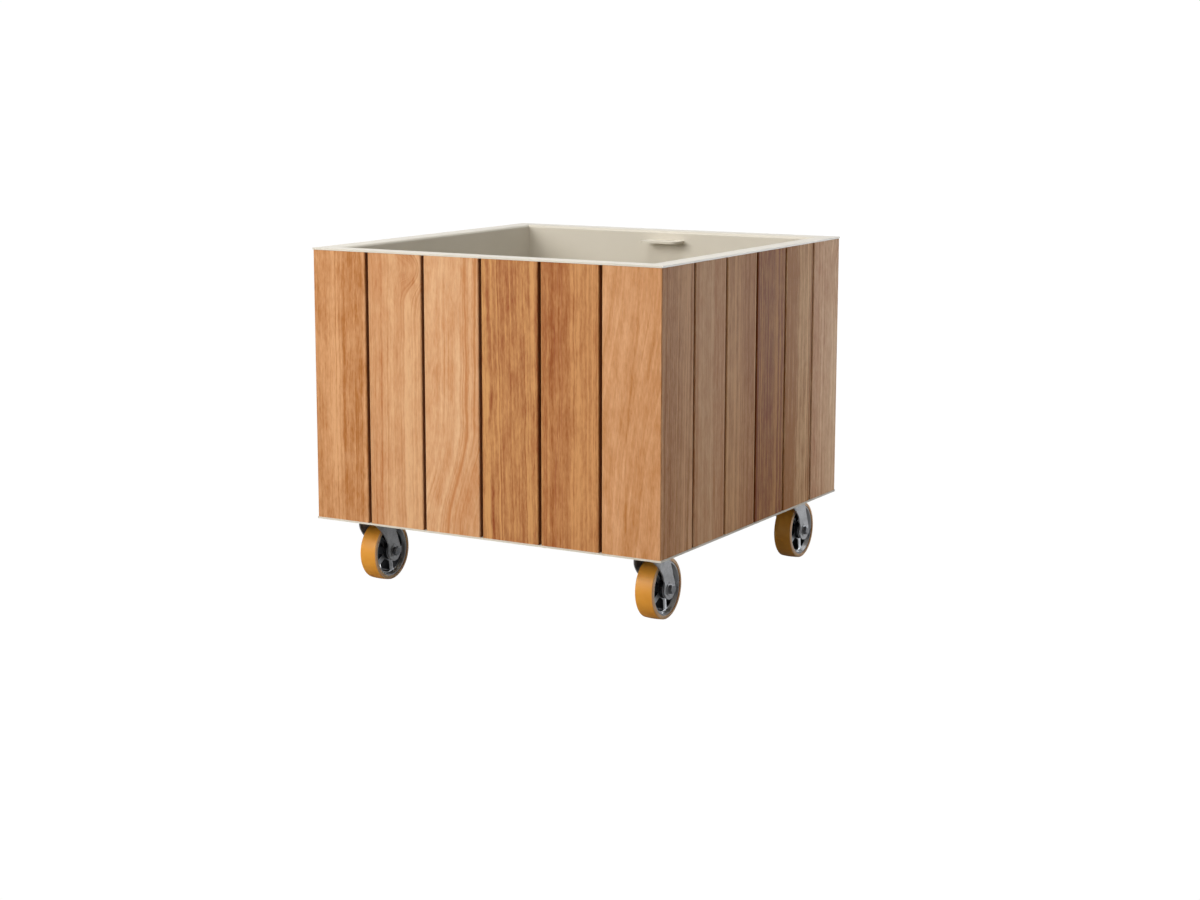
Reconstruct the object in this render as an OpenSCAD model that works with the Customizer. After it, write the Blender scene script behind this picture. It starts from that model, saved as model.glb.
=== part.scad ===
// Rolling planter: a square folded-steel tub, clad with upright boards, on four swivel casters.
// Millimetres. The origin is on the floor under the middle of the box: +X right, +Y back, +Z up.

/* [Box] */
// Width and depth of the square box over its rim
box_w = 850; // [760:10:1200]
// Height of the boards between the base frame's lip and the rim
board_h = 582; // [420:2:900]
// Width of the tub's flat rim
rim_w = 45; // [43:1:70]
// Thickness of the folded sheet of the tub
sheet_t = 4; // [3:0.5:5]
// Outside radius of the bend between the rim and the tub's walls
rim_bend_r = 6; // [6:0.5:10]

/* [Boards] */
// Thickness of the boards
board_t = 28; // [22:1:30]
// Open groove between two boards
board_gap = 7.5; // [4:0.5:12]
// How far the boards' faces stay behind the rim's edge
board_inset = 1; // [0:0.5:3]
// Bevel along the boards' outer edges
board_arris = 1.5; // [0.5:0.5:4]
// Thickness of the tongue that closes a groove from behind
tongue_t = 9; // [6:1:12]
// Depth of the rebate that the next board's tongue slides into
rebate_w = 8; // [5:1:12]
// Clearance round a tongue in its rebate, and over the boards' top ends
board_clear = 0.5; // [0.3:0.1:1]

/* [Tub fittings] */
// Diameter of the drain holes in the tub's floor
drain_d = 20; // [12:1:30]
// Distance of the four drain holes from the middle, along X and Y
drain_pitch = 220; // [120:10:300]
// Length of the inner tab along the back wall
tab_w = 96; // [60:2:140]
// How far the inner tab stands out from the wall
tab_d = 48; // [30:2:70]
// Thickness of the inner tab
tab_t = 5; // [3:0.5:8]
// Drop from the rim's top to the tab's top
tab_drop = 22; // [15:1:60]
// Radius of the tab's free corners
tab_r = 12; // [6:1:15]

/* [Frame] */
// Thickness of the base frame's angle section
frame_t = 4; // [3:0.5:5]
// Height of the base frame's upright leg
frame_leg_h = 50; // [35:1:70]
// Side of the square pads that the casters are bolted to
pad_w = 150; // [140:5:180]
// Thickness of the pads
pad_t = 6; // [4:0.5:10]
// Corner cut off each pad, along its sides
pad_cut = 50; // [20:5:60]
// Width of the three channel bearers under the tub's floor
bearer_w = 40; // [30:1:50]
// Height of the bearers
bearer_h = 30; // [24:1:50]
// Wall of the bearers
bearer_t = 3; // [2:0.5:4]
// Leg length of the corner posts' angle section
post_w = 30; // [20:1:40]
// Thickness of the corner posts and of the rails behind the boards
rail_t = 3; // [2:0.5:4]
// Height of the rails
rail_h = 40; // [25:1:60]
// Distance of the rails' middles from the boards' ends
rail_inset = 90; // [60:5:150]

/* [Casters] */
// Diameter of the wheels
wheel_d = 131; // [126:1:134]
// Width of the wheels
wheel_w = 42; // [36:1:45]
// Height of a caster from the floor to the top of its plate
caster_h = 168; // [166:1:190]
// How far the casters' plates sit up inside the box
plate_recess = 15; // [8:0.5:20]
// Distance of the swivel axes from the box's left and right faces
caster_inset_x = 79; // [78:1:95]
// Distance of the swivel axes from the box's front and back faces
caster_inset_y = 95; // [90:1:100]
// Distance of the axle behind the swivel axis
trail = 42; // [36:1:46]
// Top plate along X
plate_x = 85; // [80:1:86]
// Top plate along Y
plate_y = 105; // [100:1:115]
// Thickness of the top plate
plate_t = 4; // [3:0.5:6]
// Radius of the top plate's corners
plate_r = 8; // [4:0.5:12]
// Bolt hole spacing along X
bolt_x = 60; // [56:1:64]
// Bolt hole spacing along Y
bolt_y = 80; // [76:1:86]
// Diameter of the bolt holes
bolt_hole_d = 9; // [8.5:0.5:11]
// Diameter of the bolts
bolt_d = 8; // [6:1:8]

/* [Forks] */
// Width of a fork over its legs
fork_w = 55; // [52:1:58]
// Thickness of a fork's legs
fork_t = 3; // [2:0.5:4]
// Thickness of a fork's crown
crown_t = 4; // [3.5:0.5:6]
// Radius of a fork's round crown
crown_r = 31; // [29.5:0.5:34]
// Space between a fork's crown and its top plate
crown_gap = 8.5; // [7:0.5:12]
// Height of the crown's front edge below its top
crown_lip = 10; // [6:0.5:16]
// Outside radius of the bend between crown and legs
fork_bend_r = 7; // [5:0.5:10]
// Radius of the legs' rounded ends
tip_r = 22.5; // [19:0.5:24]
// Slope of the legs' front edges under the crown
flare_deg = 51; // [46:0.5:55]
// Radius of the hollow where that slope meets the leg
flare_r = 14; // [8:1:30]
// Radius of the raised rings round the axle
boss_r = 15; // [13:0.5:18]
// Height of the raised rings
boss_h = 1.2; // [0.8:0.1:2]
// Diameter of the axle
axle_d = 12; // [8:1:12]
// Width across the flats of the axle's head and nut
hex_af = 18; // [16:0.5:22]
// Height of the axle's head
head_h = 7.5; // [5:0.5:9]

/* [Swivels] */
// Diameter of the kingpin
kingpin_d = 12; // [8:1:14]
// Diameter of the balls
ball_d = 6; // [5:0.5:7]
// Number of balls in a swivel
balls = 14; // [10:1:16]
// Radius of the circle that the balls run on
race_r = 20; // [18:0.5:22]
// Gap between the two races
race_gap = 2; // [1.5:0.5:3]
// Running clearance of pins, balls and bearings
run_clear = 0.05; // [0.02:0.01:0.08]

/* [Wheels] */
// Thickness of the tyre's tread
tread_t = 8.5; // [6:0.5:11]
// Radius of the tyre's shoulders
shoulder_r = 5; // [3:0.5:6]
// How far the tyre stands out past the rim on each side
tyre_lip = 1.5; // [0.5:0.5:3]
// Radius of the wheel's hub
hub_r = 21; // [19:0.5:24]
// Inner radius of the wheel's rim beside the spokes
rim_in_r = 49.5; // [46:0.5:51]
// Width of the rim's flat flanges, where its inside opens out to
flange_w = 4; // [3:0.5:6]
// Width of a spoke
spoke_w = 13; // [8:0.5:16]
// Depth of the spokes along the axle
spoke_d = 24; // [12:1:28]
// Radius of the corners of the openings between the spokes
window_r = 4; // [2:0.5:5]
// Outer radius of the ball bearings
bearing_r = 16; // [14:0.5:17]
// Width of a ball bearing
bearing_w = 10; // [8:0.5:11]

/* [Hidden] */
$fn = 64;
SIDES = ["front", "right", "back", "left"];
CASTERS = ["front_left", "front_right", "back_left", "back_right"];
BOARDS = 6;
SPOKES = 5;
CASTER_PIECES = ["top_plate", "swivel_balls", "fork", "axle", "bearings", "wheel_rim", "tyre"];

STEEL = [0.90, 0.88, 0.82];
WOOD = [0.80, 0.56, 0.38];
ZINC = [0.62, 0.64, 0.66];
ALUMINIUM = [0.72, 0.73, 0.75];
AMBER = [0.85, 0.56, 0.20];
DARK = [0.25, 0.26, 0.28];

EPS = 0.01;

// Heights, from the floor up
wheel_r = wheel_d / 2;
lip_z = caster_h - plate_recess;
board_z = lip_z + frame_t;
rim_z = board_z + board_h + board_clear;
top_z = rim_z + sheet_t;
pad_z = caster_h;
bearer_z = pad_z + pad_t;
floor_z = bearer_z + bearer_h;
leg_top_z = lip_z + frame_leg_h;
plate_z = caster_h - plate_t;

// Distances from the middle of the box, outwards
edge = box_w / 2;
board_face = edge - board_inset;
board_back = board_face - board_t;
leg_in = board_back - frame_t;
tub_in = edge - rim_w;
tub_out = tub_in + sheet_t;
pad_in = leg_in - pad_w;
rail_half = board_back - post_w;
caster_x = edge - caster_inset_x;
caster_y = edge - caster_inset_y;

// Boards
board_w = (2 * board_face - (BOARDS - 1) * board_gap) / BOARDS;
tongue_w = board_gap + rebate_w - board_clear;
tongue_y = board_t - tongue_t;

// Screws that hold the boards to the rails
screw_d = 4.5;
screw_head_d = 8;
screw_head_h = 2.6;
screw_in = 18;
screw_edge = 18;
screw_clear = 0.1;
rail_zs = [board_z + rail_inset, board_z + board_h - rail_inset];

// Caster bolts
nut_h = 6.5;
bolt_head_h = 5.3;
bolt_af = 13;
bolt_end = 2.5;
hex_edge = 0.4;
hex_deg = 30;

// Forks and swivels
fork_half = fork_w / 2;
fork_in = fork_half - fork_t;
crown_top = plate_z - crown_gap;
crown_z = crown_top - crown_t;
ball_z = crown_top + race_gap / 2;
race_half = 7;
race_slope = 2;
pin_head_r = 11;
pin_head_h = 4;
pin_dome_r = 7;
pin_play = 0.3;
boss_x = fork_half + boss_h;
lip_top_y = -crown_r;
leg_front_y = trail - tip_r;
flare_z = crown_top - crown_lip - tan(flare_deg) * (leg_front_y + crown_r);
nut_w = 10;
thread_end = 2;
spacer_t = 3;

// Wheels
hub_half = wheel_w / 2;
rim_half = wheel_w / 2 - tyre_lip;
rim_r = wheel_r - tread_t;
window_edge = 2;
window_in_r = hub_r + window_edge + window_r;
window_out_r = rim_in_r - window_edge / 2 - window_r;
inner_ring_t = 2.5;
outer_ring_t = 3;
shield_in = 0.8;
spoke_deg = -80;
tread_crown_r = 180;

// Corner shapes

// An outline through points, with each corner rounded to r; the points are the arcs' centres,
// anticlockwise.
module rounded_polygon(points, r) {
    n = len(points);
    function outward(i) = let(d = points[(i + 1) % n] - points[i]) [d[1], -d[0]] / norm(d) * r;
    polygon([for (i = [0:n - 1]) for (p = [points[i], points[(i + 1) % n]]) p + outward(i)]);
    for (p = points) translate(p) circle(r);
}

module rounded_rectangle(x, y, r) {
    a = x / 2 - r;
    b = y / 2 - r;
    rounded_polygon([[-a, -b], [a, -b], [a, b], [-a, b]], r);
}

// Four mitred lengths of a section that is drawn in [distance from the middle, height]
module square_ring() {
    for (side = [0:3]) rotate([0, 0, 90 * side]) intersection() {
        rotate([90, 0, 0]) translate([0, 0, -edge - 1]) linear_extrude(box_w + 2) children();
        linear_extrude(top_z + 1) polygon([[0, 0], [edge + 1, -edge - 1], [edge + 1, edge + 1]]);
    }
}

// Children are drawn on the front side and turned to the side asked for
module on_side(side) {
    rotate([0, 0, 90 * side]) children();
}

// Children are drawn round a swivel axis and moved to the caster asked for
module at_caster(i) {
    translate([(i % 2 == 0 ? -1 : 1) * caster_x, (i < 2 ? -1 : 1) * caster_y, 0]) children();
}

// Children are drawn round Z and turned and moved to run along the axle
module on_axle() {
    translate([0, trail, wheel_r]) rotate([90, 0, 90]) children();
}

// Tub

module tub_section() {
    bend = rim_bend_r - sheet_t;
    difference() {
        union() {
            translate([tub_in, floor_z]) square([sheet_t, top_z - floor_z]);
            translate([tub_in, rim_z]) square([rim_w, sheet_t]);
            translate([tub_in, rim_z - bend]) square(sheet_t + bend);
        }
        translate([tub_in, top_z - rim_bend_r]) difference() {
            translate([-1, 0]) square([rim_bend_r + 1, rim_bend_r + 1]);
            translate([rim_bend_r, 0]) circle(rim_bend_r);
        }
        translate([tub_in + rim_bend_r, top_z - rim_bend_r]) circle(bend);
    }
}

module tub() {
    color(STEEL) difference() {
        union() {
            square_ring() tub_section();
            translate([-tub_in - EPS, -tub_in - EPS, floor_z])
                cube([2 * (tub_in + EPS), 2 * (tub_in + EPS), sheet_t]);
        }
        for (x = [-1, 1]) for (y = [-1, 1])
            translate([x * drain_pitch, y * drain_pitch, floor_z - 1]) cylinder(d = drain_d, h = sheet_t + 2);
    }
}

module inner_tab() {
    a = tab_w / 2;
    color(STEEL) translate([0, tub_in, top_z - tab_drop - tab_t]) linear_extrude(tab_t) {
        translate([-a, -tab_d + tab_r]) square([tab_w, tab_d - tab_r]);
        translate([-a + tab_r, -tab_d]) square([tab_w - 2 * tab_r, tab_d]);
        for (x = [-1, 1]) translate([x * (a - tab_r), -tab_d + tab_r]) circle(tab_r);
    }
}

// Frame

module base_frame() {
    color(STEEL) {
        square_ring() {
            translate([leg_in, lip_z]) square([edge - leg_in, frame_t]);
            translate([leg_in, lip_z]) square([frame_t, frame_leg_h]);
        }
        for (i = [0:3]) difference() {
            corner_pad((i % 2 == 0 ? -1 : 1), (i < 2 ? -1 : 1));
            at_caster(i) bolt_places() translate([0, 0, pad_z - 1]) cylinder(d = bolt_hole_d, h = pad_t + 2);
        }
    }
}

// A pad in the corner of the base frame, with its inner corner cut off
module corner_pad(sx, sy) {
    translate([0, 0, pad_z]) linear_extrude(pad_t) polygon([
        [sx * (leg_in + EPS), sy * (leg_in + EPS)], [sx * pad_in, sy * (leg_in + EPS)],
        [sx * pad_in, sy * (pad_in + pad_cut)], [sx * (pad_in + pad_cut), sy * pad_in],
        [sx * (leg_in + EPS), sy * pad_in]
    ]);
}

module bolt_places() {
    for (x = [-1, 1]) for (y = [-1, 1]) translate([x * bolt_x / 2, y * bolt_y / 2, 0]) children();
}

module floor_bearers() {
    color(STEEL) for (y = [-caster_y, 0, caster_y])
        translate([-leg_in, y, bearer_z]) rotate([90, 0, 90]) linear_extrude(2 * leg_in) difference() {
            translate([-bearer_w / 2, 0]) square([bearer_w, bearer_h]);
            translate([-bearer_w / 2 + bearer_t, -1])
                square([bearer_w - 2 * bearer_t, bearer_h - bearer_t + 1]);
        }
}

module corner_posts() {
    color(STEEL) for (side = [0:3]) on_side(side)
        translate([board_back, -board_back, leg_top_z]) linear_extrude(rim_z - leg_top_z) {
            translate([-post_w, 0]) square([post_w, rail_t]);
            translate([-rail_t, 0]) square([rail_t, post_w]);
        }
}

module board_rails() {
    color(STEEL) for (side = [0:3]) on_side(side) difference() {
        for (z = rail_zs) translate([-rail_half, -board_back, z - rail_h / 2])
            cube([2 * rail_half, rail_t, rail_h]);
        screw_places() translate([0, 0, -1]) cylinder(d = screw_d + 2 * screw_clear, h = rail_t + 2);
    }
}

// Boards

function board_x(i) = -board_face + (i - 1) * (board_w + board_gap);

// The two screws in each crossing of board i and a rail, measured in from the narrower of the two
function screw_xs(i) = [
    max(board_x(i) + rebate_w, -rail_half) + screw_edge,
    min(board_x(i) + board_w, rail_half) - screw_edge
];

// Children are drawn along +Z from the boards' back into the boards
module screw_places(boards = [1:BOARDS]) {
    for (i = boards) for (x = screw_xs(i)) for (z = rail_zs)
        translate([x, -board_back + rail_t, z]) rotate([90, 0, 0]) children();
}

// Plan of board i, with its left edge at 0 and its face along X: the end boards are mitred
module board_plan(i) {
    a = board_arris;
    polygon(concat(
        i == 1
            ? [[board_t, board_t], [a / 2, a / 2], [a, 0]]
            : [[rebate_w, board_t], [rebate_w, tongue_y - board_clear],
               [0, tongue_y - board_clear], [0, a], [a, 0]],
        i == BOARDS
            ? [[board_w - a, 0], [board_w - a / 2, a / 2], [board_w - board_t, board_t]]
            : [[board_w - a, 0], [board_w, a], [board_w, tongue_y],
               [board_w + tongue_w, tongue_y], [board_w + tongue_w, board_t]]
    ));
}

module board(side, i) {
    color(WOOD) on_side(side) difference() {
        translate([board_x(i), -board_face, board_z]) linear_extrude(board_h) board_plan(i);
        screw_places([i]) translate([0, 0, rail_t - 1]) cylinder(d = screw_d + 2 * screw_clear, h = screw_in + 2);
    }
}

module board_screws() {
    color(ZINC) for (side = [0:3]) on_side(side) screw_places() {
        cylinder(d = screw_d, h = rail_t + screw_in);
        translate([0, 0, -screw_head_h]) cylinder(d1 = screw_head_d - 2, d2 = screw_head_d, h = screw_head_h);
    }
}

// Casters

module caster_bolts() {
    color(ZINC) for (i = [0:3]) at_caster(i) bolt_places() {
        translate([0, 0, plate_z]) mirror([0, 0, 1]) hexagon(bolt_af, bolt_head_h);
        translate([0, 0, plate_z - bolt_head_h / 2])
            cylinder(d = bolt_d, h = bearer_z + nut_h + bolt_end - plate_z + bolt_head_h / 2);
        translate([0, 0, bearer_z]) hexagon(bolt_af, nut_h);
    }
}

// A hexagon head or nut that stands on Z = 0, with the corners of its free face turned off
module hexagon(af, h) {
    face_d = af - 2 * hex_edge;
    intersection() {
        cylinder(d = af / cos(30), h = h, $fn = 6);
        cylinder(d1 = face_d + 2 * h / tan(hex_deg), d2 = face_d, h = h);
    }
}

// The groove that the balls run in, cut from a race
module ball_groove() {
    translate([0, 0, ball_z]) rotate_extrude() translate([race_r, 0]) circle(d = ball_d + 2 * run_clear);
}

// Plate with its upper ball race and the kingpin riveted into it
module top_plate() {
    race_z = crown_top + race_gap;
    head_top = crown_z - pin_play;
    color(ZINC) difference() {
        union() {
            translate([0, 0, plate_z]) linear_extrude(plate_t) rounded_rectangle(plate_x, plate_y, plate_r);
            rotate_extrude() polygon([
                [0, race_z], [race_r + race_half, race_z], [race_r + race_half + race_slope, plate_z],
                [race_r + race_half + race_slope, plate_z + plate_t / 2], [0, plate_z + plate_t / 2]
            ]);
            translate([0, 0, head_top - pin_head_h / 2]) cylinder(d = kingpin_d, h = plate_z - crown_z);
            translate([0, 0, head_top - pin_head_h]) cylinder(r = pin_head_r, h = pin_head_h);
            rotate_extrude() intersection() {
                translate([0, head_top - pin_head_h]) circle(pin_dome_r);
                translate([0, head_top - 2 * pin_head_h]) square([pin_dome_r, 2 * pin_head_h]);
            }
        }
        ball_groove();
        bolt_places() translate([0, 0, plate_z - 1]) cylinder(d = bolt_hole_d, h = plate_t + 2);
    }
}

module swivel_balls() {
    color(DARK) for (i = [0:balls - 1]) rotate([0, 0, i * 360 / balls])
        translate([race_r, 0, ball_z]) sphere(d = ball_d);
}

// The pressed fork's bulk, a round crown run out into two flat flanks, drawn in by shrink
module fork_bulk(shrink, top) {
    low = wheel_r - tip_r - 1 - shrink;
    r = crown_r - shrink;
    half = fork_half - shrink;
    bend = fork_bend_r - shrink;
    back = trail + tip_r + 1 + shrink;
    rotate_extrude() {
        translate([0, low]) square([r, top - bend - low]);
        translate([0, low]) square([r - bend, top - low]);
        translate([r - bend, top - bend]) circle(bend);
    }
    translate([0, back, 0]) rotate([90, 0, 0]) linear_extrude(back) {
        translate([-half, low]) square([2 * half, top - bend - low]);
        translate([-half + bend, low]) square([2 * (half - bend), top - low]);
        for (x = [-1, 1]) translate([x * (half - bend), top - bend]) circle(bend);
    }
}

// Outline of a fork from its side, in [Y, Z]
module fork_side() {
    axle = [trail, wheel_r];
    front = [leg_front_y, flare_z];
    crown_back = [crown_r, crown_top];
    reach = crown_back - axle;
    tangent_deg = atan2(reach[1], reach[0]) - acos(tip_r / norm(reach));
    tangent = axle + tip_r * [cos(tangent_deg), sin(tangent_deg)];
    run = flare_r * tan((90 - flare_deg) / 2);
    polygon([
        [-crown_r, crown_top], [-crown_r, crown_top - crown_lip], front, [leg_front_y, wheel_r],
        axle, tangent, crown_back
    ]);
    translate(axle) circle(tip_r);
    difference() {
        polygon([
            front + run * [-cos(flare_deg), sin(flare_deg)], front + [-flare_r, -run],
            front + [0, -run], front
        ]);
        translate(front + [-flare_r, -run]) circle(flare_r, $fn = 128);
    }
}

module fork() {
    color(ZINC) difference() {
        union() {
            intersection() {
                difference() {
                    fork_bulk(0, crown_top);
                    fork_bulk(fork_t, crown_z);
                }
                translate([-crown_r - 1, 0, 0]) rotate([90, 0, 90])
                    linear_extrude(2 * crown_r + 2) fork_side();
            }
            on_axle() for (x = [-boss_x, fork_half - 1])
                translate([0, 0, x]) cylinder(r = boss_r, h = boss_h + 1);
        }
        on_axle() translate([0, 0, -crown_r]) cylinder(d = axle_d + 2 * run_clear, h = 2 * crown_r);
        cylinder(d = kingpin_d + 2 * run_clear, h = caster_h);
        ball_groove();
    }
}

// Axle bolt with its head on the right, its nut on the left, and a spacer inside each leg
module axle() {
    color(DARK) on_axle() {
        translate([0, 0, -boss_x - nut_w - thread_end])
            cylinder(d = axle_d, h = 2 * boss_x + nut_w + thread_end + head_h / 2);
        translate([0, 0, boss_x]) hexagon(hex_af, head_h);
        translate([0, 0, -boss_x]) mirror([0, 0, 1]) hexagon(hex_af, nut_w);
        for (x = [-fork_in, hub_half + 2 * run_clear]) translate([0, 0, x])
            cylinder(r = axle_d / 2 + spacer_t, h = fork_in - hub_half - 2 * run_clear);
    }
}

// Wheels

// Two ball bearings, one at each end of the hub, with their shields set back
module bearings() {
    bore = axle_d / 2 + run_clear;
    inner = bore + inner_ring_t;
    outer = bearing_r - outer_ring_t;
    color(ZINC) on_axle() for (x = [-hub_half, hub_half - bearing_w]) translate([0, 0, x])
        rotate_extrude() difference() {
            translate([bore, 0]) square([bearing_r - bore, bearing_w]);
            for (z = [-1, bearing_w - shield_in]) translate([inner, z])
                square([outer - inner, shield_in + 1]);
        }
}

// Opening between two spokes, with its outer edge an arc along the rim
module spoke_window() {
    flank = spoke_w / 2 + window_r;
    function corner(r, side) = let(a = side * (180 / SPOKES - asin(flank / r))) r * [cos(a), sin(a)];
    outer = [corner(window_out_r, -1), corner(window_out_r, 1)];
    rounded_polygon([corner(window_in_r, -1), outer[0], outer[1], corner(window_in_r, 1)], window_r);
    intersection() {
        circle(window_out_r + window_r, $fn = 96);
        polygon([outer[0], 2 * outer[0], 2 * outer[1], outer[1]]);
    }
}

module wheel_rim() {
    web = spoke_d / 2;
    seat = bearing_r + run_clear / 2;
    shoulder = bearing_r - 2;
    color(ALUMINIUM) on_axle() difference() {
        rotate_extrude($fn = 96) {
            polygon([
                [shoulder, bearing_w - hub_half], [seat, bearing_w - hub_half], [seat, -hub_half],
                [hub_r - 1, -hub_half], [hub_r, 1 - hub_half], [hub_r, -web],
                [rim_in_r, -web], [rim_r - flange_w, -rim_half], [rim_r - run_clear, -rim_half],
                [rim_r - run_clear, rim_half], [rim_r - flange_w, rim_half], [rim_in_r, web],
                [hub_r, web], [hub_r, hub_half - 1], [hub_r - 1, hub_half],
                [seat, hub_half], [seat, hub_half - bearing_w], [shoulder, hub_half - bearing_w]
            ]);
        }
        for (i = [0:SPOKES - 1]) rotate([0, 0, spoke_deg + (i + 0.5) * 360 / SPOKES])
            translate([0, 0, -hub_half - 1]) linear_extrude(2 * hub_half + 2) spoke_window();
    }
}

module tyre() {
    color(AMBER) on_axle() rotate_extrude($fn = 128) intersection() {
        translate([rim_r, -hub_half]) square([tread_t, wheel_w]);
        union() {
            translate([rim_r, -hub_half]) square([tread_t - shoulder_r, wheel_w]);
            translate([rim_r, -hub_half + shoulder_r]) square([tread_t, wheel_w - 2 * shoulder_r]);
            for (x = [-1, 1]) translate([wheel_r - shoulder_r, x * (hub_half - shoulder_r)])
                circle(shoulder_r);
        }
        translate([wheel_r - tread_crown_r, 0]) circle(tread_crown_r, $fn = 512);
    }
}

tub();
inner_tab();
base_frame();
floor_bearers();
corner_posts();
board_rails();
board_screws();
caster_bolts();
for (side = [0:3]) for (i = [1:BOARDS])
    board(side, i);
for (i = [0:3]) {
    at_caster(i) top_plate();
    at_caster(i) swivel_balls();
    at_caster(i) fork();
    at_caster(i) axle();
    at_caster(i) bearings();
    at_caster(i) wheel_rim();
    at_caster(i) tyre();
}
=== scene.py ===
import math

import bpy
from mathutils import Matrix, Vector

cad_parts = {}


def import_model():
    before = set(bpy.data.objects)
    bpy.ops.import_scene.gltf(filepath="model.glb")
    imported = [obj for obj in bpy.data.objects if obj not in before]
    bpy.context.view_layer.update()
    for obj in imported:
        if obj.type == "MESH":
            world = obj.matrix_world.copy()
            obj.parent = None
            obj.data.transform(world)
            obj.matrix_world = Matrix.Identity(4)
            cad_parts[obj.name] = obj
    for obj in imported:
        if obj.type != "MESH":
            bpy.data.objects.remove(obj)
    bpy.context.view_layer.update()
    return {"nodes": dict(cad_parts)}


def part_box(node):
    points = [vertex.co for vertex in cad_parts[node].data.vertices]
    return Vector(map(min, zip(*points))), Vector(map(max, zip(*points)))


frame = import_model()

MM = 0.001

SIDES = ["front", "right", "back", "left"]
CASTERS = ["front_left", "front_right", "back_left", "back_right"]


def middle(node):
    low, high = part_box(node)
    return [(a + b) / 2 for a, b in zip(low, high)]


# Sizes of the object that its looks follow, in metres

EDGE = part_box("tub")[1][0]                      # half the box's width
BOARD_FACE = -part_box("front_board_1")[0][1]     # from the middle to the boards' faces
BOARD_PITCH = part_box("front_board_3")[0][0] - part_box("front_board_2")[0][0]
BOARD_GAP = 0.0075
BOARD_BOTTOM, BOARD_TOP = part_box("front_board_1")[0][2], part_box("front_board_1")[1][2]

WHEEL_X, WHEEL_BACK_Y, WHEEL_Z = middle("back_right_tyre")
WHEEL_FRONT_Y = middle("front_right_tyre")[1]
BOWL_RADIUS = (0.0492, 0.0502)      # where the wheel's bright bowl begins
BOWL_DEPTH = (0.0115, 0.0125)       # and how far from the wheel's middle plane
SHIELD_INNER = (0.0083, 0.0087)     # the dark ring between a bearing's two races
SHIELD_OUTER = (0.0132, 0.0128)


# Node trees

def srgb(r, g, b):
    """Linear colour of an 8-bit one."""
    def linear(c):
        c /= 255
        return c / 12.92 if c <= 0.04045 else ((c + 0.055) / 1.055) ** 2.4
    return (linear(r), linear(g), linear(b), 1.0)


def grey(value):
    return (value, value, value, 1.0)


class Tree:
    """Short calls for the nodes of one tree. A value is a number, a tuple or a node's socket."""

    def __init__(self, nt):
        self.nt = nt

    def put(self, socket, value):
        if isinstance(value, bpy.types.NodeSocket):
            self.nt.links.new(value, socket)
        elif value is not None:
            socket.default_value = value

    def node(self, kind, *values, **settings):
        n = self.nt.nodes.new("ShaderNode" + kind)
        for key, value in settings.items():
            setattr(n, key, value)
        for i, value in enumerate(values):
            self.put(n.inputs[i], value)
        return n

    def fill(self, node, **values):
        """Sets inputs by name, with _ for a blank."""
        for key, value in values.items():
            self.put(node.inputs[key.replace("_", " ")], value)
        return node

    def math(self, op, a, b=None, clamp=False):
        return self.node("Math", a, b, operation=op, use_clamp=clamp).outputs[0]

    def add(self, a, b):
        return self.math("ADD", a, b)

    def sub(self, a, b):
        return self.math("SUBTRACT", a, b)

    def mul(self, a, b):
        return self.math("MULTIPLY", a, b)

    def div(self, a, b):
        return self.math("DIVIDE", a, b)

    def abs(self, a):
        return self.math("ABSOLUTE", a)

    def total(self, *values):
        result = values[0]
        for value in values[1:]:
            result = self.add(result, value)
        return result

    def clamped(self, a):
        return self.math("ADD", a, 0.0, clamp=True)

    def bell(self, *offs):
        """1 where all the values are 0, falling off smoothly as any of them grows past 1."""
        squares = self.total(*(self.mul(off, off) for off in offs))
        return self.math("EXPONENT", self.mul(squares, -1.0))

    def vec(self, op, a, b=None):
        n = self.node("VectorMath", a, b, operation=op)
        return n.outputs["Value" if op in ("LENGTH", "DOT_PRODUCT") else "Vector"]

    def split(self, v):
        return self.node("SeparateXYZ", v).outputs

    def join(self, x, y, z):
        return self.node("CombineXYZ", x, y, z).outputs[0]

    def noise(self, place, scale, detail=2.0, rough=0.5, dims="3D"):
        n = self.node("TexNoise", noise_dimensions=dims)
        self.put(n.inputs["W" if dims == "1D" else "Vector"], place)
        return self.fill(n, Scale=scale, Detail=detail, Roughness=rough).outputs["Fac"]

    def ramp(self, fac, low, high):
        """Blend of two colours, each given as (place, colour)."""
        n = self.node("ValToRGB", fac)
        for stop, (at, colour) in zip(n.color_ramp.elements, (low, high)):
            stop.position = at
            stop.color = colour
        return n.outputs[0]

    def step(self, value, low, high):
        """0 below low and 1 above high, rising smoothly; the other way round if low is higher."""
        n = self.node("MapRange", interpolation_type="SMOOTHSTEP")
        return self.fill(n, Value=value, From_Min=low, From_Max=high).outputs[0]

    def mix(self, fac, a, b):
        n = self.node("Mix", data_type="RGBA", clamp_factor=True)
        for i, value in ((0, fac), (6, a), (7, b)):
            self.put(n.inputs[i], value)
        return n.outputs[2]

    def bump(self, height, distance, strength):
        n = self.node("Bump")
        return self.fill(n, Strength=strength, Distance=distance, Height=height).outputs[0]


def material(name):
    """A new material as (material, its Tree, its shader's inputs)."""
    m = bpy.data.materials.new(name)
    m.use_nodes = True
    return m, Tree(m.node_tree), m.node_tree.nodes["Principled BSDF"].inputs


def here(t):
    """The piece's own coordinates, in metres."""
    return t.node("TexCoord").outputs["Object"]


# Wood

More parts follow.
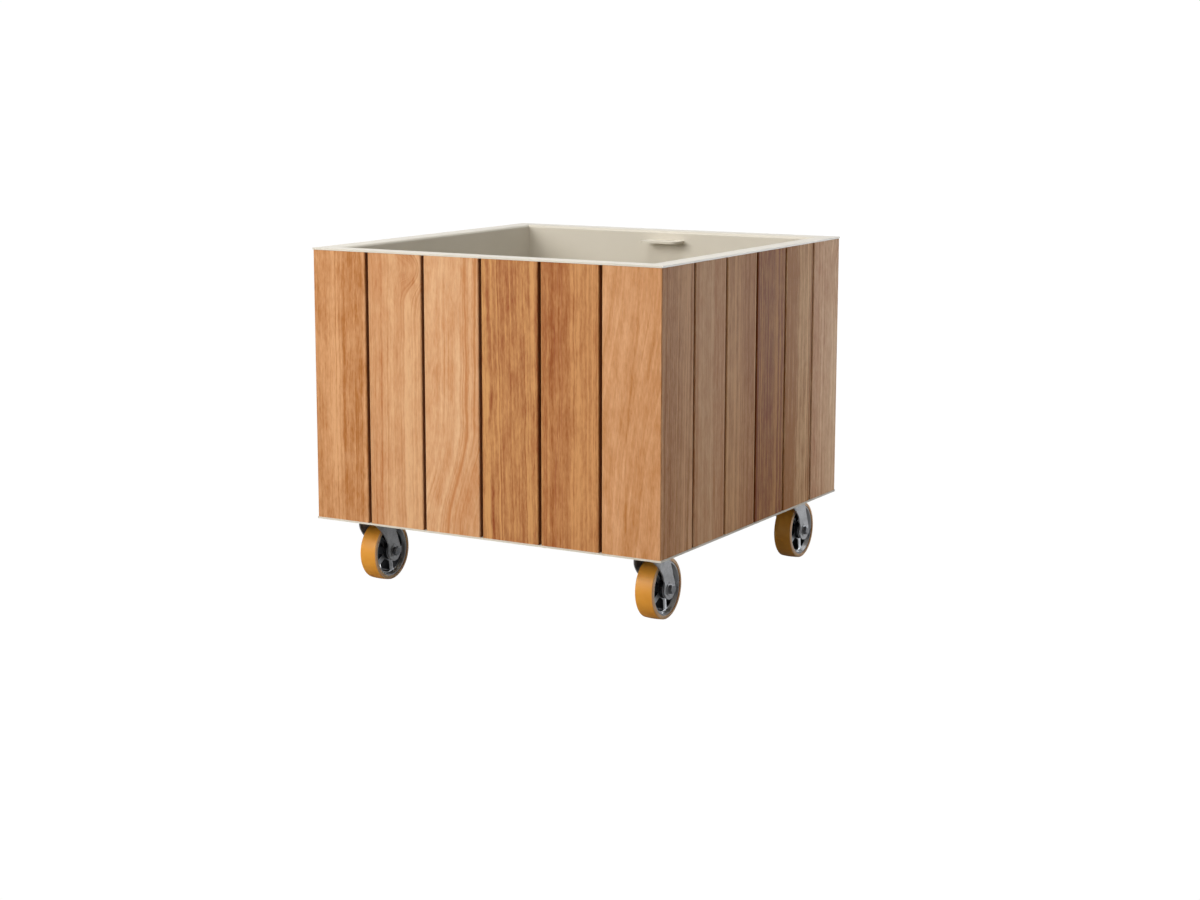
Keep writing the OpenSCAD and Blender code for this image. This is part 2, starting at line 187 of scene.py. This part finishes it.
# What a board's pattern is given. All lengths are in metres
GRAIN_INPUTS = {
    "Place": "Vector",       # across the board, into it and along it, from the middle of its face
    "Seed": "Vector",
    "Pith": "Vector",        # where the rings' centre lies, across and into
    "Lean": "Vector",        # how far the pith moves across and into for each metre along
    "Knot": "Vector",
    "Knot Size": "Vector",   # its half width, how far it pushes the grain, and its half height
    "Bend": "Vector",        # how far the grain moves to the right, between two heights
    "Line": "Vector",        # these four are stripes: place across, half width, strength
    "Stripe 1": "Vector",
    "Stripe 2": "Vector",
    "Stripe 3": "Vector",
    "Ring": "Float",         # a ring's width
    "Bow": "Float",          # how far the grain wanders
    "Contrast": "Float",     # strength of what follows the rings
    "Figure": "Float",       # strength of what doesn't
    "Vein": "Vector",        # where red lines are, as a stripe
    "Light": "Color",
    "Dark": "Color",
    "Red": "Color",
}
GRAIN_OUTPUTS = {"Colour": "Color", "Roughness": "Float", "Height": "Float"}

RIPPLE = 0.008                    # how far the rings ripple, metres
RING_DRIFT = 2.2                  # how unequal the rings are, in rings
LATE_RISE, LATE_FALL = (0.15, 0.85), (1.0, 0.85)    # where late wood darkens and ends in a ring
MEAN_TONE = 0.45                  # 0 is the light colour and 1 the dark one
PORE_DARK = (0.09, 0.03, 0.012, 1.0)
GROOVE = (0.0018, 0.005)          # how deep behind the face the painted groove shade begins, metres
GROOVE_PAINTED_SHADE = srgb(116, 72, 44)


def wood_group():
    """The pattern of a board: rings round a pith, soft bands, dashes, fibres and pores."""
    g = bpy.data.node_groups.new("grain", "ShaderNodeTree")
    for in_out, sockets in (("INPUT", GRAIN_INPUTS), ("OUTPUT", GRAIN_OUTPUTS)):
        for name, kind in sockets.items():
            g.interface.new_socket(name, in_out=in_out, socket_type="NodeSocket" + kind)
    t = Tree(g)
    given = g.nodes.new("NodeGroupInput").outputs
    out = g.nodes.new("NodeGroupOutput").inputs

    place = given["Place"]
    seeded = t.vec("ADD", place, given["Seed"])

    def layer(across, along, shift=0.0, detail=2, rough=0.5):
        """Noise with so many cells to the metre across the board and along it."""
        v = t.vec("MULTIPLY", seeded, (across, across, along))
        return t.noise(t.vec("ADD", v, (shift, shift, shift)), 1, detail, rough)

    def centred(value, gain):
        return t.mul(t.sub(value, 0.5), gain)

    u, w, v = t.split(place)
    pith = t.split(given["Pith"])
    lean = t.split(given["Lean"])
    knot = t.split(given["Knot"])
    knot_size = t.split(given["Knot Size"])
    bend, bend_low, bend_high = t.split(given["Bend"])

    # The grain wanders, bends along the board and round a knot, and the rings ripple
    drift_u = centred(layer(3, 1.6), given["Bow"])
    drift_w = centred(layer(3, 1.6, 7.7), given["Bow"])
    ripple = centred(layer(24, 13, 3.1), RIPPLE)
    near = t.bell(t.div(t.sub(u, knot[0]), knot_size[0]), t.div(t.sub(v, knot[2]), knot_size[2]))
    bent = t.sub(u, t.mul(near, knot_size[1]))
    bent = t.sub(bent, t.mul(t.step(v, bend_low, bend_high), bend))
    bent = t.add(bent, drift_u)
    du = t.sub(t.sub(bent, pith[0]), t.mul(v, lean[0]))
    dw = t.add(t.sub(t.sub(w, pith[1]), t.mul(v, lean[1])), drift_w)
    radius = t.add(t.vec("LENGTH", t.join(du, dw, 0.0)), ripple)

    def by_radius(scale, detail=2, rough=0.5):
        return t.noise(radius, scale, detail, rough, dims="1D")

    def stripe(sizes):
        """A stripe of the width and strength given, which bends with the grain."""
        at, width, amount = t.split(sizes)
        return t.mul(t.bell(t.div(t.sub(t.add(bent, ripple), at), width)), amount)

    # What follows the rings
    ring = t.math("FRACT", t.add(t.div(radius, given["Ring"]), t.mul(by_radius(95), RING_DRIFT)))
    late = t.mul(t.step(ring, *LATE_RISE), t.step(ring, *LATE_FALL))
    patchy = t.step(layer(22, 5, 4.4), 0.35, 0.65)
    bands = t.mul(centred(by_radius(62, 3, 0.6), 2.3), t.add(t.mul(patchy, 0.5), 0.6))
    rings = t.mul(t.mul(t.sub(late, 0.35), 0.4), patchy)
    lines = centred(by_radius(260, 2, 0.6), 0.7)
    ringed = t.mul(t.total(bands, rings, lines), given["Contrast"])

    # What doesn't: dashes, flecks, fibres, clouds and blotches
    fibre = layer(520, 60, rough=0.6)
    figure = t.total(
        centred(layer(190, 26, 5.0, 3, 0.6), 0.8),
        centred(layer(260, 90, 6.3), 0.5),
        centred(fibre, 0.5),
        centred(layer(15, 5, 1.9, 3), 0.7),
        centred(layer(58, 19, 8.8), 0.8))
    stripes = [stripe(given[key]) for key in ("Line", "Stripe 1", "Stripe 2", "Stripe 3")]
    ring_round_knot = t.mul(t.mul(near, t.sub(1.0, near)), 0.9)
    tone = t.total(ringed, t.mul(figure, given["Figure"]), *stripes, ring_round_knot, MEAN_TONE)
    colour = t.mix(t.clamped(tone), given["Light"], given["Dark"])

    # Broken red lines, pores, and painted shade in the grooves behind the face
    red_lines = t.step(by_radius(190, 2, 0.6), 0.5, 0.66)
    broken = t.step(layer(50, 7, 9.0), 0.34, 0.58)
    vein = t.mul(t.mul(red_lines, broken), stripe(given["Vein"]))
    colour = t.mix(t.clamped(vein), colour, given["Red"])
    pores = t.step(layer(620, 34, 2.2, rough=0.6), 0.56, 0.7)
    colour = t.mix(t.mul(pores, 0.22), colour, t.mix(0.62, colour, PORE_DARK))
    # The grooves' walls behind the face are darkened: painted shade
    colour = t.mix(t.step(w, *GROOVE), colour, t.mix(0.7, colour, GROOVE_PAINTED_SHADE))

    t.put(out["Colour"], colour)
    t.put(out["Roughness"], t.total(0.52, t.mul(fibre, 0.14), t.mul(late, -0.05)))
    t.put(out["Height"], t.sub(t.add(t.mul(fibre, 0.35), t.mul(late, 0.25)), t.mul(pores, 0.7)))
    return g


GRAIN = wood_group()
RED = srgb(140, 66, 38)
NO_KNOT = ((0, 0), (1, 0, 1))
NO_STRIPE = (0, 1, 0)
NO_BEND = (0, -1, 1)


def wood(name, side, i, light, dark, pith, ring, bow, contrast, seed, figure=1.0, lean=(0, 0),
         vein=NO_STRIPE, line=NO_STRIPE, stripes=(), bend=NO_BEND, knot=NO_KNOT):
    """The wood of board i of a side. GRAIN_INPUTS says what each size is. Lengths are in
    millimetres here, and a knot is ((across, along), size)."""
    m, t, s = material(name)
    board_x = -BOARD_FACE + (i - 0.5) * BOARD_PITCH - BOARD_GAP / 2
    place = t.node("Mapping", here(t), vector_type="POINT")
    place.inputs["Rotation"].default_value = (0, 0, -math.pi / 2 * side)
    place.inputs["Location"].default_value = (-board_x, BOARD_FACE, -(BOARD_BOTTOM + BOARD_TOP) / 2)
    (knot_u, knot_v), knot_size = knot
    first, second, third = (*stripes, NO_STRIPE, NO_STRIPE, NO_STRIPE)[:3]

    def stripe(sizes):
        at, width, amount = sizes
        return (at * MM, width * MM, amount)

    g = t.node("Group")
    g.node_tree = GRAIN
    t.fill(
        g, Place=place.outputs[0], Seed=(3.1 * seed, 1.7 * seed, 2.3 * seed),
        Pith=(pith[0] * MM, pith[1] * MM, 0), Lean=(*lean, 0),
        Knot=(knot_u * MM, 0, knot_v * MM), Knot_Size=[size * MM for size in knot_size],
        Bend=[size * MM for size in bend], Line=stripe(line), Vein=stripe(vein),
        Stripe_1=stripe(first), Stripe_2=stripe(second), Stripe_3=stripe(third),
        Ring=ring * MM, Bow=bow * MM, Contrast=contrast, Figure=figure,
        Light=srgb(*light), Dark=srgb(*dark), Red=RED)
    t.put(s["Base Color"], g.outputs["Colour"])
    t.put(s["Roughness"], g.outputs["Roughness"])
    t.put(s["Normal"], t.bump(g.outputs["Height"], 0.0004, 0.5))
    s["Specular IOR Level"].default_value = 0.2
    return m


# Metals and the tread

def coated_steel():
    """Off-white powder coat: a fine orange-peel skin, faintly uneven."""
    m, t, s = material("coated_steel")
    p = here(t)
    cloud = t.noise(p, 7, 3)
    speck = t.noise(p, 900)
    uneven = t.add(t.mul(cloud, 0.7), t.mul(speck, 0.3))
    peel = t.add(t.noise(p, 520), t.mul(speck, 0.4))
    t.put(s["Base Color"], t.ramp(uneven, (0.25, srgb(206, 199, 184)), (0.75, srgb(214, 207, 193))))
    t.put(s["Roughness"], t.add(0.27, t.mul(cloud, 0.12)))
    t.put(s["Normal"], t.bump(peel, 0.0003, 0.3))
    return m


def zinc(name, low, high, rough, metal):
    """Zinc plate: cloudy, with a faint crystal grain and fine scratches."""
    m, t, s = material(name)
    p = here(t)
    cloud = t.noise(p, 38, 4, 0.6)
    crystal = t.fill(t.node("TexVoronoi", p, feature="F1"), Scale=420).outputs["Color"]
    scratch = t.noise(t.vec("MULTIPLY", p, (900, 900, 60)), 1)
    t.put(s["Base Color"], t.ramp(t.mix(0.35, cloud, crystal), (0.25, low), (0.75, high)))
    t.put(s["Roughness"], t.add(rough, t.mul(t.sub(cloud, 0.5), 0.22)))
    t.put(s["Normal"], t.bump(t.add(t.mul(scratch, 0.5), t.noise(p, 260)), 0.0002, 0.3))
    s["Metallic"].default_value = metal
    return m


# The four wheels stand at rest where these three functions expect them, and each wheel carries
# its own coordinates with it

def from_wheel_plane(t, p):
    return t.abs(t.sub(t.abs(t.split(p)[0]), WHEEL_X))


def from_axle(t, p):
    half, centre = (WHEEL_BACK_Y - WHEEL_FRONT_Y) / 2, (WHEEL_BACK_Y + WHEEL_FRONT_Y) / 2
    _, y, z = t.split(p)
    across = t.sub(t.abs(t.sub(y, centre)), half)
    return t.vec("LENGTH", t.join(across, t.sub(z, WHEEL_Z), 0.0))


def facing_outwards(t):
    """1 on a face square to the axle, and 0 on one along it."""
    return t.abs(t.split(t.node("TexCoord").outputs["Normal"])[0])


def cast_aluminium():
    """Die-cast skin, pebbled, with turned flanges and a bright bowl; its walls along the axle are
    near-black as painted shade in the windows.
    """
    m, t, s = material("cast_aluminium")
    p = here(t)
    radius = from_axle(t, p)
    pebble = t.noise(p, 700, 3, 0.6)
    cloud = t.noise(p, 45, 3)
    grain = t.add(t.mul(pebble, 0.4), t.mul(cloud, 0.6))
    # Walls along the axle: as-cast skin, made near-black as painted shade in the windows
    cast_skin_and_shade = t.ramp(grain, (0.3, srgb(44, 45, 47)), (0.7, srgb(66, 67, 70)))
    face = t.ramp(grain, (0.3, srgb(176, 178, 181)), (0.7, srgb(204, 206, 209)))
    grooves = t.noise(t.join(t.mul(radius, 2600), 0.0, 0.0), 1)
    turned = t.mix(grooves, srgb(176, 178, 181), srgb(214, 216, 218))
    colour = t.mix(t.step(facing_outwards(t), 0.3, 0.7), cast_skin_and_shade, face)
    bowl = t.mul(t.step(radius, *BOWL_RADIUS), t.step(from_wheel_plane(t, p), *BOWL_DEPTH))
    t.put(s["Base Color"], t.mix(bowl, colour, turned))
    t.put(s["Roughness"], t.sub(t.add(0.34, t.mul(cloud, 0.18)), t.mul(bowl, 0.14)))
    t.put(s["Normal"], t.bump(t.mul(pebble, t.sub(1.0, bowl)), 0.0003, 0.4))
    s["Metallic"].default_value = 1.0
    return m


def tread():
    """Amber polyurethane: dense and slightly waxy where it runs, duller on its walls, which are
    painted paler as a painted sheen.
    """
    m, t, s = material("amber_tread")
    p = here(t)
    cloud = t.noise(p, 26, 3)
    wall = t.step(facing_outwards(t), 0.55, 0.9)
    amber = t.ramp(cloud, (0.3, srgb(217, 145, 42)), (0.7, srgb(225, 155, 53)))
    # The walls' paler colour is a painted sheen
    pale_wall_sheen = t.ramp(cloud, (0.3, srgb(216, 176, 136)), (0.7, srgb(226, 187, 149)))
    t.put(s["Base Color"], t.mix(wall, amber, pale_wall_sheen))
    t.put(s["Roughness"], t.total(0.42, t.mul(t.noise(p, 60, 3), 0.12), t.mul(wall, 0.15)))
    t.put(s["Normal"], t.bump(t.noise(p, 420), 0.0002, 0.25))
    s["Specular IOR Level"].default_value = 0.4
    s["Subsurface Weight"].default_value = 0.12
    s["Subsurface Radius"].default_value = (0.006, 0.003, 0.001)
    s["Subsurface Scale"].default_value = 1.0
    return m


def ground_steel(t, p):
    """Colour and roughness of ground steel."""
    colour = t.ramp(t.noise(p, 300), (0.3, srgb(120, 121, 124)), (0.7, srgb(165, 166, 168)))
    return colour, t.add(0.2, t.mul(t.noise(p, 120), 0.15))


def bearing_steel():
    m, t, s = material("bearing_steel")
    colour, rough = ground_steel(t, here(t))
    t.put(s["Base Color"], colour)
    t.put(s["Roughness"], rough)
    s["Metallic"].default_value = 1.0
    return m


def ball_bearing():
    """Ground rings with a dark shield between them."""
    m, t, s = material("ball_bearing")
    p = here(t)
    radius = from_axle(t, p)
    shield = t.mul(t.step(radius, *SHIELD_INNER), t.step(radius, *SHIELD_OUTER))
    colour, rough = ground_steel(t, p)
    t.put(s["Base Color"], t.mix(shield, colour, srgb(28, 28, 30)))
    t.put(s["Roughness"], t.add(rough, t.mul(shield, 0.3)))
    t.put(s["Metallic"], t.sub(1.0, shield))
    return m


STEEL = coated_steel()
ZINC = zinc("zinc_pressing", srgb(151, 152, 154), srgb(185, 186, 188), rough=0.44, metal=0.85)
BOLT = zinc("zinc_fastener", srgb(128, 130, 134), srgb(168, 170, 174), rough=0.3, metal=1.0)

LOOKS = dict.fromkeys(
    ("tub", "inner_tab", "base_frame", "floor_bearers", "corner_posts", "board_rails"), STEEL)
LOOKS.update(board_screws=BOLT, caster_bolts=BOLT)
CASTER_LOOKS = {"top_plate": ZINC, "fork": ZINC, "axle": BOLT, "swivel_balls": bearing_steel(),
                "bearings": ball_bearing(), "wheel_rim": cast_aluminium(), "tyre": tread()}
for caster in CASTERS:
    for piece, look in CASTER_LOOKS.items():
        LOOKS[f"{caster}_{piece}"] = look


# The boards, from left to right as each side is seen

FRONT = [
    dict(seed=1, light=(208, 156, 109), dark=(164, 101, 45), pith=(-200, 60), ring=5, bow=8,
         contrast=0.7, figure=1.1, stripes=[(-18, 6, -0.43), (26, 7, 0.44), (56, 8, 0.36)]),
    dict(seed=2, light=(212, 165, 120), dark=(169, 100, 45), pith=(-150, 50), ring=7.5, bow=14,
         contrast=0.5, figure=0.7, stripes=[(-8, 9, -0.39), (30, 14, -0.45), (64, 8, -0.42)],
         line=(21, 2.5, 0.3), knot=((52, 262), (42, 44, 44))),
    dict(seed=3, light=(219, 175, 132), dark=(188, 126, 76), pith=(-110, 46), ring=8, bow=12,
         contrast=0.6, figure=0.9, stripes=[(-37, 6, -0.14), (-1, 10, -0.45), (5, 26, 0.42)],
         lean=(0.02, 0), line=(-14, 2.5, 0.5), bend=(50, -290, -60)),
    dict(seed=4, light=(201, 146, 89), dark=(137, 64, 22), pith=(170, 40), ring=6.5, bow=9,
         contrast=0.85, stripes=[(-47, 7, -0.45), (21, 10, -0.21), (52, 7, -0.45)],
         lean=(-0.02, 0), vein=(-10, 34, 0.3)),
    dict(seed=5, light=(201, 144, 89), dark=(147, 79, 30), pith=(-150, 60), ring=5.2, bow=12,
         contrast=0.7, stripes=[(-36, 26, 0.16), (19, 18, -0.26), (60, 8, -0.45)],
         vein=(-34, 22, 0.6)),
    dict(seed=6, light=(215, 161, 115), dark=(179, 117, 61), pith=(120, 52), ring=9, bow=16,
         contrast=0.45, stripes=[(-37, 7, -0.24), (25, 7, 0.1), (49, 6, 0.11)],
         lean=(0.08, 0.06), line=(-12, 2.5, 0.3), bend=(30, -120, 260)),
]
RIGHT = [
    dict(seed=7, light=(208, 159, 115), dark=(161, 103, 53), pith=(-160, 60), ring=6, bow=10,
         contrast=1.04, figure=0.98, stripes=[(-38, 12, 0.3), (25, 9, -0.28), (49, 7, -0.45)],
         lean=(0.03, 0.02)),
    dict(seed=8, light=(213, 171, 129), dark=(180, 123, 77), pith=(120, 70), ring=5, bow=10,
         contrast=0.9, figure=0.91, stripes=[(-58, 8, 0.45), (26, 6, 0.45), (62, 20, 0.45)]),
    dict(seed=9, light=(206, 157, 109), dark=(155, 96, 48), pith=(-130, 60), ring=5, bow=10,
         contrast=1.1, figure=0.8, stripes=[(-31, 15, -0.36), (33, 18, 0.31), (59, 6, 0.45)]),
    dict(seed=10, light=(181, 127, 68), dark=(129, 65, 14), pith=(150, 50), ring=6, bow=10,
         contrast=1.7, figure=1.1, stripes=[(-49, 7, 0.38), (-16, 26, 0.27), (30, 13, -0.27)]),
    dict(seed=11, light=(218, 176, 129), dark=(160, 103, 48), pith=(-150, 60), ring=5, bow=10,
         contrast=1.4, figure=0.98, stripes=[(-58, 9, 0.45), (-39, 26, 0.45), (-26, 12, 0.45)],
         line=(50, 6, 0.25)),
    dict(seed=12, light=(235, 199, 159), dark=(178, 119, 78), pith=(-120, 50), ring=8, bow=20,
         contrast=0.7, figure=0.8, stripes=[(-46, 15, 0.45), (3, 6, 0.22), (40, 26, -0.17)],
         knot=((50, 215), (34, -30, 60))),
]


def cut_anew(look, seeds_on, deeper):
    """The look of another board of the same wood: other noise, and its pith on the other side."""
    across, into = look["pith"]
    return dict(look, seed=look["seed"] + seeds_on, pith=(-across, into + deeper))


BACK = [cut_anew(look, 12, 8)
        for look in (RIGHT[2], FRONT[5], FRONT[3], FRONT[0], FRONT[1], RIGHT[1])]
LEFT = [cut_anew(look, 30, 5)
        for look in (FRONT[2], RIGHT[3], FRONT[0], FRONT[1], FRONT[4], RIGHT[0])]

for side, boards in enumerate((FRONT, RIGHT, BACK, LEFT)):
    for i, look in enumerate(boards, 1):
        name = f"{SIDES[side]}_board_{i}"
        LOOKS[name] = wood(name + "_wood", side, i, **look)

# The CAD mesh keeps its faces apart, so smooth shading rounds the curves and leaves edges sharp
for name, o in frame["nodes"].items():
    o.data.materials.clear()
    o.data.materials.append(LOOKS[name])
    for polygon in o.data.polygons:
        polygon.use_smooth = True


# Stage: a floor that shows as plain white, soft lights, and the camera

SHOWN = 1.02                        # just over white, so that the background is plain
FLOOR_LIT = 0.66                    # how much light the floor sends back up
FLOOR_GLOSS, FLOOR_SHADE = 0.42, 0.18    # how bright a gloss finds it, in the open and in shade
SHADE_EDGE = (0.62, 0.38)           # where the planter's shade on the floor begins and is full
AHEAD_EDGE = (-0.3, -0.6)           # and the dark ahead of it, along y
WORLD_TINT, WORLD_LIT = (0.96, 0.98, 1.0, 1), 0.18
STUDIO_DARK = 0.06                  # how bright a gloss finds the dark of the studio
STUDIO_FRONT = (0.5, -0.85, 0.16)   # towards that dark, in front of the planter
FRONT_EDGE = (0.3, 0.8)             # how squarely a gloss looks there where it begins and is full


def shown_or_lit(t, shown, gloss, lit):
    """What the camera sees, what a gloss reflects and what lights the object, as one shader."""
    path = t.node("LightPath").outputs
    lights = t.node("MixShader", path["Is Glossy Ray"], lit, gloss).outputs[0]
    return t.node("MixShader", path["Is Camera Ray"], lights, shown).outputs[0]


def floor():
    """White to the camera. A gloss finds it dark in the planter's own shade and ahead of it, and
    from below it isn't there."""
    bpy.ops.mesh.primitive_plane_add(size=60)
    o = bpy.context.object
    o.name = "floor"
    m = bpy.data.materials.new("floor")
    m.use_nodes = True
    t = Tree(m.node_tree)
    m.node_tree.nodes.remove(m.node_tree.nodes["Principled BSDF"])
    x, y, _ = t.split(here(t))
    shade = t.mul(t.step(t.abs(x), *SHADE_EDGE), t.step(y, *SHADE_EDGE))
    dark = t.math("MAXIMUM", shade, t.step(y, *AHEAD_EDGE))
    lit = t.node("BsdfDiffuse", grey(FLOOR_LIT)).outputs[0]
    seen = t.mix(dark, grey(FLOOR_GLOSS), grey(FLOOR_SHADE))
    gloss = t.node("Emission", seen, 1.0).outputs[0]
    shown = t.node("Emission", grey(1), SHOWN).outputs[0]
    above = shown_or_lit(t, shown, gloss, lit)
    below = t.node("BsdfTransparent").outputs[0]
    back = t.node("NewGeometry").outputs["Backfacing"]
    t.put(m.node_tree.nodes["Material Output"].inputs[0],
          t.node("MixShader", back, above, below).outputs[0])
    o.data.materials.append(m)


def world():
    """White, faintly bluish as light, and dark in front where the object's metal mirrors it."""
    w = bpy.data.worlds.new("studio")
    bpy.context.scene.world = w
    w.use_nodes = True
    t = Tree(w.node_tree)
    w.node_tree.nodes.remove(w.node_tree.nodes["Background"])
    direction = t.node("TexCoord").outputs["Generated"]
    in_front = t.step(t.vec("DOT_PRODUCT", direction, STUDIO_FRONT), *FRONT_EDGE)
    lit = t.node("Background", WORLD_TINT, WORLD_LIT).outputs[0]
    gloss = t.node("Background", t.mix(in_front, grey(1), grey(STUDIO_DARK)), 1.0).outputs[0]
    shown = t.node("Background", grey(1), SHOWN).outputs[0]
    t.put(w.node_tree.nodes["World Output"].inputs[0], shown_or_lit(t, shown, gloss, lit))


def area(name, at, size, power, colour=(1, 1, 1), aim=(0, 0, 0.4)):
    """A soft light of so many metres and watts, which the camera doesn't see."""
    data = bpy.data.lights.new(name, "AREA")
    data.shape = "RECTANGLE"
    data.size, data.size_y = size
    data.energy = power
    data.color = colour
    o = bpy.data.objects.new(name, data)
    o.location = at
    o.rotation_euler = (Vector(aim) - Vector(at)).to_track_quat("-Z", "Y").to_euler()
    o.visible_camera = False
    bpy.context.collection.objects.link(o)


# The camera as it was fitted to the photograph: how far it is turned about the vertical and
# tipped down, in radians, and where it sees the box's front left lower corner, in box widths
# (right, forwards, up)
CAMERA_YAW, CAMERA_PITCH = 0.53251, 0.16265
CORNER_SEEN_AT = Vector((-0.67473, 5.49206, -0.25163))
BOX_WIDTH = 0.85
LENS, SHIFT = 64.17, (0.01611, -0.02645)


def camera():
    """Seen from the front right, a little above."""
    data = bpy.data.cameras.new("view")
    data.sensor_width = 36
    data.lens = LENS
    data.shift_x, data.shift_y = SHIFT
    data.clip_end = 100
    turn = Matrix.Rotation(CAMERA_PITCH, 3, "X") @ Matrix.Rotation(-CAMERA_YAW, 3, "Z")
    corner = Vector((-EDGE, -EDGE, BOARD_BOTTOM))
    at = -(turn.transposed() @ CORNER_SEEN_AT) * BOX_WIDTH + corner
    # The camera's own axes: right, up and backwards
    axes = Matrix((turn[0], turn[2], -turn[1])).transposed()
    o = bpy.data.objects.new("view", data)
    o.matrix_world = Matrix.Translation(at) @ axes.to_4x4()
    bpy.context.collection.objects.link(o)
    bpy.context.scene.camera = o


floor()
world()
area("key", (-1.5, -3.5, 2.0), (1.8, 1.8), 114, (1.0, 0.985, 0.96))
area("top", (0.2, -0.25, 3.2), (1.6, 1.6), 48)
area("fill", (-0.8, -3.4, 0.4), (1.6, 0.6), 7)
area("side", (1.8, 2.1, 0.42), (1.6, 0.7), 17, (0.95, 0.97, 1.0), aim=(0.42, 0.4, 0.3))
camera()
bpy.context.scene.view_settings.view_transform = "Standard"
bpy.context.scene.view_settings.look = "None"
